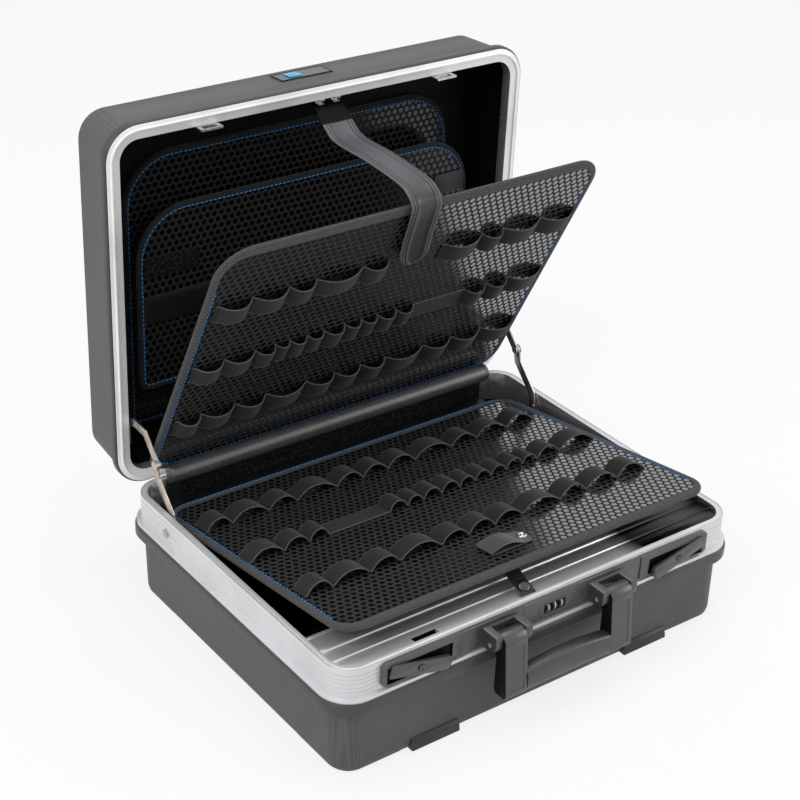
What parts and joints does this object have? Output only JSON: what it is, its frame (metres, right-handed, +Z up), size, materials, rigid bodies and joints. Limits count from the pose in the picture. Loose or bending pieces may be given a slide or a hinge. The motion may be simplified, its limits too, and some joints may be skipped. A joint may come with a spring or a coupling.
{
  "type": "hard tool case",
  "caption": "Framed hard tool case, open, with two folding boards of elastic tool loops, folding lid stays, lever locks, number dials and a drop handle.",
  "frame": {"origin": "on the ground, under the middle of the case as it stands open", "axes": "+X to the case's right as seen from the front, +Y towards the hinges, +Z up"},
  "size_m": [0.5, 0.4894, 0.497],
  "materials": {
    "shell_abs": "fine-grained moulded ABS",
    "frame_aluminium": "satin extruded aluminium",
    "profile_aluminium": "bright drawn aluminium",
    "black_plastic": "black moulded plastic",
    "lock_plastic": "dark grey glass-filled nylon",
    "dial_plastic": "black dials with white figures",
    "zinc_steel": "zinc-plated steel",
    "stay_nickel": "nickel-plated steel strip",
    "board_web": "grey facing with black round recesses over a stiff core",
    "binding": "woven edge tape",
    "elastic": "matt elastic band",
    "leatherette": "black leatherette",
    "hook_tape": "black hook-and-loop tape",
    "badge_blue": "light blue inlay"
  },
  "bodies": {
    "base": {"base_shell": "shell_abs", "base_frame": "frame_aluminium", "base_feet": "black_plastic", "base_dividers": "black_plastic", "wall_screws": "zinc_steel", "front_inner_profile": "profile_aluminium", "left_lock_housing": "lock_plastic", "right_lock_housing": "lock_plastic", "lock_pivots": "zinc_steel", "left_handle_bracket": "lock_plastic", "right_handle_bracket": "lock_plastic", "handle_pins": "zinc_steel", "combination_plate": "lock_plastic", "dial_axle": "zinc_steel", "fabric_hinge": "hook_tape", "stay_base_rivets": "stay_nickel", "hinge_base_leaves": "zinc_steel", "hinge_pins": "zinc_steel", "retaining_strap": "leatherette", "retaining_snap": "leatherette"},
    "lid": {"lid_shell": "shell_abs", "lid_frame": "frame_aluminium", "badge_plate": "black_plastic", "badge_tile": "badge_blue", "lid_strikers": "zinc_steel", "strap_hooks": "zinc_steel", "lid_stay_brackets": "stay_nickel", "lid_stay_rivets": "stay_nickel", "hinge_lid_leaves": "zinc_steel", "lid_rear_board": "board_web", "lid_pocket_board": "board_web", "lid_pocket": "leatherette"},
    "upper_tool_board": {"upper_board": "board_web", "upper_binding": "binding", "upper_loops_top": "elastic", "upper_loops_middle": "elastic", "upper_loops_bottom": "elastic", "spine_roll": "leatherette", "board_strap": "leatherette"},
    "lower_tool_board": {"lower_board": "board_web", "lower_binding": "binding", "lower_loops_back": "elastic", "lower_loops_middle": "elastic", "lower_loops_front": "elastic", "pull_tab": "leatherette", "pull_tab_snap": "zinc_steel"},
    "left_lower_arm": {"left_lower_stay": "stay_nickel"},
    "right_lower_arm": {"right_lower_stay": "stay_nickel"},
    "left_upper_arm": {"left_upper_stay": "stay_nickel", "left_elbow_rivet": "stay_nickel"},
    "right_upper_arm": {"right_upper_stay": "stay_nickel", "right_elbow_rivet": "stay_nickel"},
    "handle": {"handle_left_arm": "lock_plastic", "handle_right_arm": "lock_plastic", "handle_grip": "lock_plastic"},
    "left_lever": {"left_lock_lever": "lock_plastic"},
    "right_lever": {"right_lock_lever": "lock_plastic"},
    "first_dial": {"dial_left": "dial_plastic"},
    "second_dial": {"dial_middle": "dial_plastic"},
    "third_dial": {"dial_right": "dial_plastic"}
  },
  "joints": [
    {"name": "lid_hinge", "type": "hinge", "parent": "base", "child": "lid", "pos_m": [0, 0.16475, 0.113], "axis": [1, 0, 0], "range_deg": [0, 90]},
    {"name": "upper_board_fold", "type": "hinge", "parent": "base", "child": "upper_tool_board", "pos_m": [0, 0.14985, 0.1155], "axis": [1, 0, 0], "range_deg": [0, 60.81], "deforming": ["board_strap"]},
    {"name": "lower_board_fold", "type": "hinge", "parent": "base", "child": "lower_tool_board", "pos_m": [0, 0.13275, 0.0934], "axis": [1, 0, 0], "range_deg": [0, 4.56], "deforming": ["retaining_strap", "retaining_snap"]},
    {"name": "left_stay_foot", "type": "hinge", "parent": "base", "child": "left_lower_arm", "pos_m": [-0.2321, 0.08925, 0.101], "axis": [1, 0, 0], "range_deg": [0, 90]},
    {"name": "right_stay_foot", "type": "hinge", "parent": "base", "child": "right_lower_arm", "pos_m": [0.2321, 0.08925, 0.101], "axis": [1, 0, 0], "range_deg": [0, 90]},
    {"name": "left_stay_elbow", "type": "hinge", "parent": "left_lower_arm", "child": "left_upper_arm", "pos_m": [-0.2311, 0.12325, 0.1585], "axis": [1, 0, 0], "range_deg": [-90, 0]},
    {"name": "right_stay_elbow", "type": "hinge", "parent": "right_lower_arm", "child": "right_upper_arm", "pos_m": [0.2311, 0.12325, 0.1585], "axis": [1, 0, 0], "range_deg": [-90, 0]},
    {"name": "handle_swing", "type": "hinge", "parent": "base", "child": "handle", "pos_m": [0, -0.22725, 0.101], "axis": [1, 0, 0], "range_deg": [-90, 0]},
    {"name": "left_lever_turn", "type": "hinge", "parent": "base", "child": "left_lever", "pos_m": [-0.1585, -0.21675, 0.1005], "axis": [0, 1, 0], "range_deg": [-12.4, 0]},
    {"name": "right_lever_turn", "type": "hinge", "parent": "base", "child": "right_lever", "pos_m": [0.1585, -0.21675, 0.1005], "axis": [0, 1, 0], "range_deg": [0, 12.4]},
    {"name": "first_dial_turn", "type": "hinge", "parent": "base", "child": "first_dial", "pos_m": [-0.0072, -0.21145, 0.103], "axis": [1, 0, 0], "continuous": true},
    {"name": "second_dial_turn", "type": "hinge", "parent": "base", "child": "second_dial", "pos_m": [0.0008, -0.21145, 0.103], "axis": [1, 0, 0], "continuous": true},
    {"name": "third_dial_turn", "type": "hinge", "parent": "base", "child": "third_dial", "pos_m": [0.0088, -0.21145, 0.103], "axis": [1, 0, 0], "continuous": true}
  ],
  "couplings": [
    {"joint": "upper_board_fold", "follows": "lid_hinge", "ratio": 0.67556},
    {"joint": "lower_board_fold", "follows": "lid_hinge", "ratio": 0.050556},
    {"joint": "left_stay_foot", "follows": "lid_hinge", "ratio": 1},
    {"joint": "right_stay_foot", "follows": "lid_hinge", "ratio": 1},
    {"joint": "left_stay_elbow", "follows": "lid_hinge", "ratio": -1},
    {"joint": "right_stay_elbow", "follows": "lid_hinge", "ratio": -1}
  ]
}
